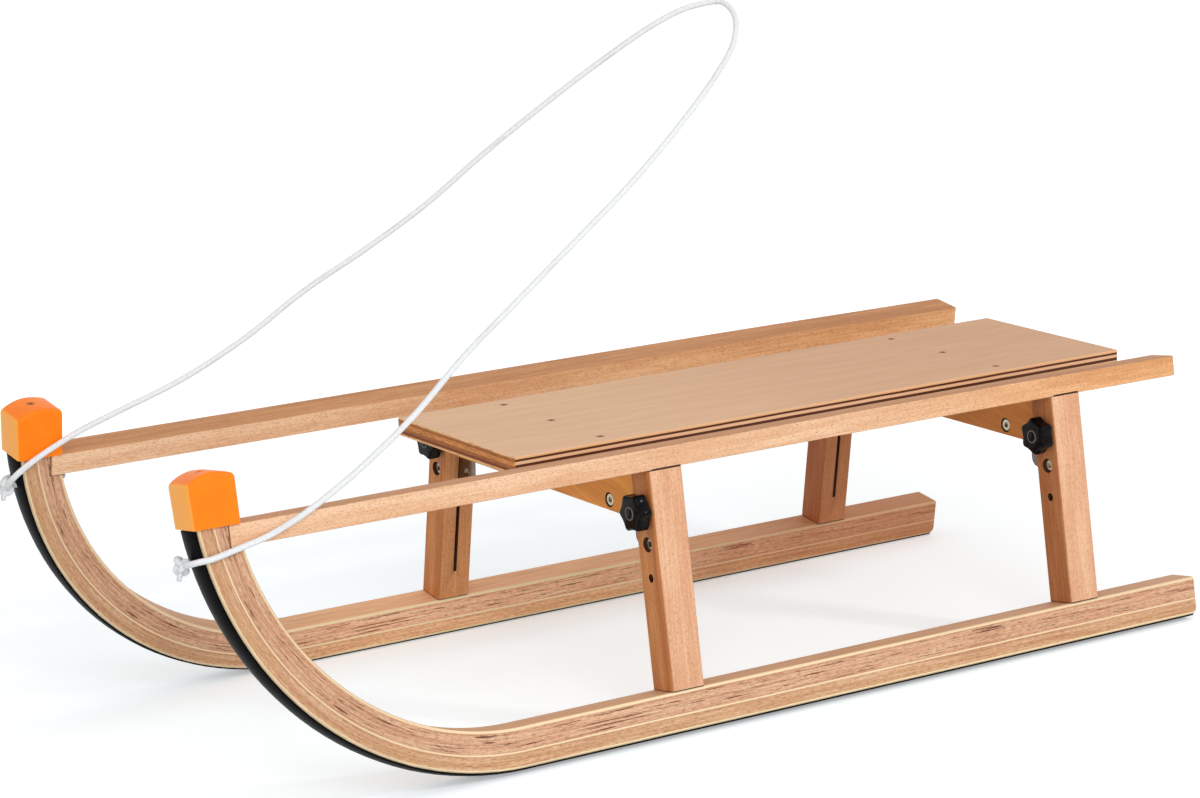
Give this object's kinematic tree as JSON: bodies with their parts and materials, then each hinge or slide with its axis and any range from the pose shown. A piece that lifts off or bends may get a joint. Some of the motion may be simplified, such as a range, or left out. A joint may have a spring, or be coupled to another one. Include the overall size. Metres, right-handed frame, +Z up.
{
  "type": "wooden sledge",
  "caption": "Folding wooden sledge: bent runners with capped horns, a plywood seat on crossbars, side frames that hinge inwards and lock with star knobs, and a pull rope.",
  "frame": {"origin": "on the ground, under the middle of the sledge's length and width, without the pull rope", "axes": "+X towards the rear end of the runners, the horns point to -X; +Y towards the right side; +Z up"},
  "size_m": [1.1173, 0.455, 0.6508],
  "materials": {
    "runner_beech": "oiled bent beech with pale veneer lines",
    "rail_beech": "planed beech, clear lacquer",
    "leg_beech": "planed beech, clear lacquer",
    "seat_ply": "sanded beech plywood, satin",
    "crossbar_ply": "golden varnish, satin",
    "cap_orange": "bright orange moulded plastic",
    "strip_black": "black extruded plastic with a soft sheen",
    "knob_black": "black moulded plastic, half gloss",
    "zinc_steel": "zinc plated",
    "insert_brass": "plain",
    "rope_white": "braided white cord"
  },
  "bodies": {
    "deck": {"seat_board": "seat_ply", "front_crossbar": "crossbar_ply", "rear_crossbar": "crossbar_ply", "front_seat_screw_1": "zinc_steel", "front_seat_screw_2": "zinc_steel", "front_seat_screw_3": "zinc_steel", "rear_seat_screw_1": "zinc_steel", "rear_seat_screw_2": "zinc_steel", "rear_seat_screw_3": "zinc_steel", "left_front_hinge_plate": "zinc_steel", "left_rear_hinge_plate": "zinc_steel", "right_front_hinge_plate": "zinc_steel", "right_rear_hinge_plate": "zinc_steel", "left_front_crossbar_screw": "zinc_steel", "left_rear_crossbar_screw": "zinc_steel", "right_front_crossbar_screw": "zinc_steel", "right_rear_crossbar_screw": "zinc_steel", "left_rope_strand": "rope_white", "right_rope_strand": "rope_white"},
    "left_frame": {"left_runner": "runner_beech", "left_sole_strip": "strip_black", "left_rail": "rail_beech", "left_horn_cap": "cap_orange", "left_cap_screw": "zinc_steel", "left_rope_knot": "rope_white", "left_rope_lead": "rope_white", "left_front_leg": "leg_beech", "left_rear_leg": "leg_beech", "left_front_pivot_screw": "zinc_steel", "left_rear_pivot_screw": "zinc_steel", "left_front_knob_insert": "insert_brass", "left_rear_knob_insert": "insert_brass", "left_front_lock_insert": "insert_brass", "left_rear_lock_insert": "insert_brass"},
    "right_frame": {"right_runner": "runner_beech", "right_sole_strip": "strip_black", "right_rail": "rail_beech", "right_horn_cap": "cap_orange", "right_cap_screw": "zinc_steel", "right_rope_knot": "rope_white", "right_rope_lead": "rope_white", "right_front_leg": "leg_beech", "right_rear_leg": "leg_beech", "right_front_pivot_screw": "zinc_steel", "right_rear_pivot_screw": "zinc_steel", "right_front_knob_insert": "insert_brass", "right_rear_knob_insert": "insert_brass", "right_front_lock_insert": "insert_brass", "right_rear_lock_insert": "insert_brass"},
    "left_front_stud": {"left_front_knob_stud": "zinc_steel"},
    "left_front_knob": {"left_front_knob_head": "knob_black"},
    "left_rear_stud": {"left_rear_knob_stud": "zinc_steel"},
    "left_rear_knob": {"left_rear_knob_head": "knob_black"},
    "right_front_stud": {"right_front_knob_stud": "zinc_steel"},
    "right_front_knob": {"right_front_knob_head": "knob_black"},
    "right_rear_stud": {"right_rear_knob_stud": "zinc_steel"},
    "right_rear_knob": {"right_rear_knob_head": "knob_black"}
  },
  "joints": [
    {"name": "left_frame_fold", "type": "hinge", "parent": "deck", "child": "left_frame", "pos_m": [0.16935, -0.18587, 0.17655], "axis": [1, 0, 0], "range_deg": [0, 98.6]},
    {"name": "right_frame_fold", "type": "hinge", "parent": "deck", "child": "right_frame", "pos_m": [0.16935, 0.18587, 0.17655], "axis": [-1, 0, 0], "range_deg": [0, 98.6]},
    {"name": "left_front_knob_travel", "type": "slide", "parent": "left_frame", "child": "left_front_stud", "axis": [-1, 0, 0], "range_m": [0, 0.00375]},
    {"name": "left_front_knob_turn", "type": "hinge", "parent": "left_front_stud", "child": "left_front_knob", "pos_m": [-0.087, -0.18119, 0.2075], "axis": [-1, 0, 0], "range_deg": [0, 1080]},
    {"name": "left_rear_knob_travel", "type": "slide", "parent": "left_frame", "child": "left_rear_stud", "axis": [-1, 0, 0], "range_m": [0, 0.00375]},
    {"name": "left_rear_knob_turn", "type": "hinge", "parent": "left_rear_stud", "child": "left_rear_knob", "pos_m": [0.3897, -0.18119, 0.2075], "axis": [-1, 0, 0], "range_deg": [0, 1080]},
    {"name": "right_front_knob_travel", "type": "slide", "parent": "right_frame", "child": "right_front_stud", "axis": [-1, 0, 0], "range_m": [0, 0.00375]},
    {"name": "right_front_knob_turn", "type": "hinge", "parent": "right_front_stud", "child": "right_front_knob", "pos_m": [-0.087, 0.18119, 0.2075], "axis": [-1, 0, 0], "range_deg": [0, 1080]},
    {"name": "right_rear_knob_travel", "type": "slide", "parent": "right_frame", "child": "right_rear_stud", "axis": [-1, 0, 0], "range_m": [0, 0.00375]},
    {"name": "right_rear_knob_turn", "type": "hinge", "parent": "right_rear_stud", "child": "right_rear_knob", "pos_m": [0.3897, 0.18119, 0.2075], "axis": [-1, 0, 0], "range_deg": [0, 1080]}
  ],
  "couplings": [
    {"joint": "left_front_knob_turn", "follows": "left_front_knob_travel", "rad_per_m": 5026.5},
    {"joint": "left_rear_knob_turn", "follows": "left_rear_knob_travel", "rad_per_m": 5026.5},
    {"joint": "right_front_knob_turn", "follows": "right_front_knob_travel", "rad_per_m": 5026.5},
    {"joint": "right_rear_knob_turn", "follows": "right_rear_knob_travel", "rad_per_m": 5026.5}
  ]
}
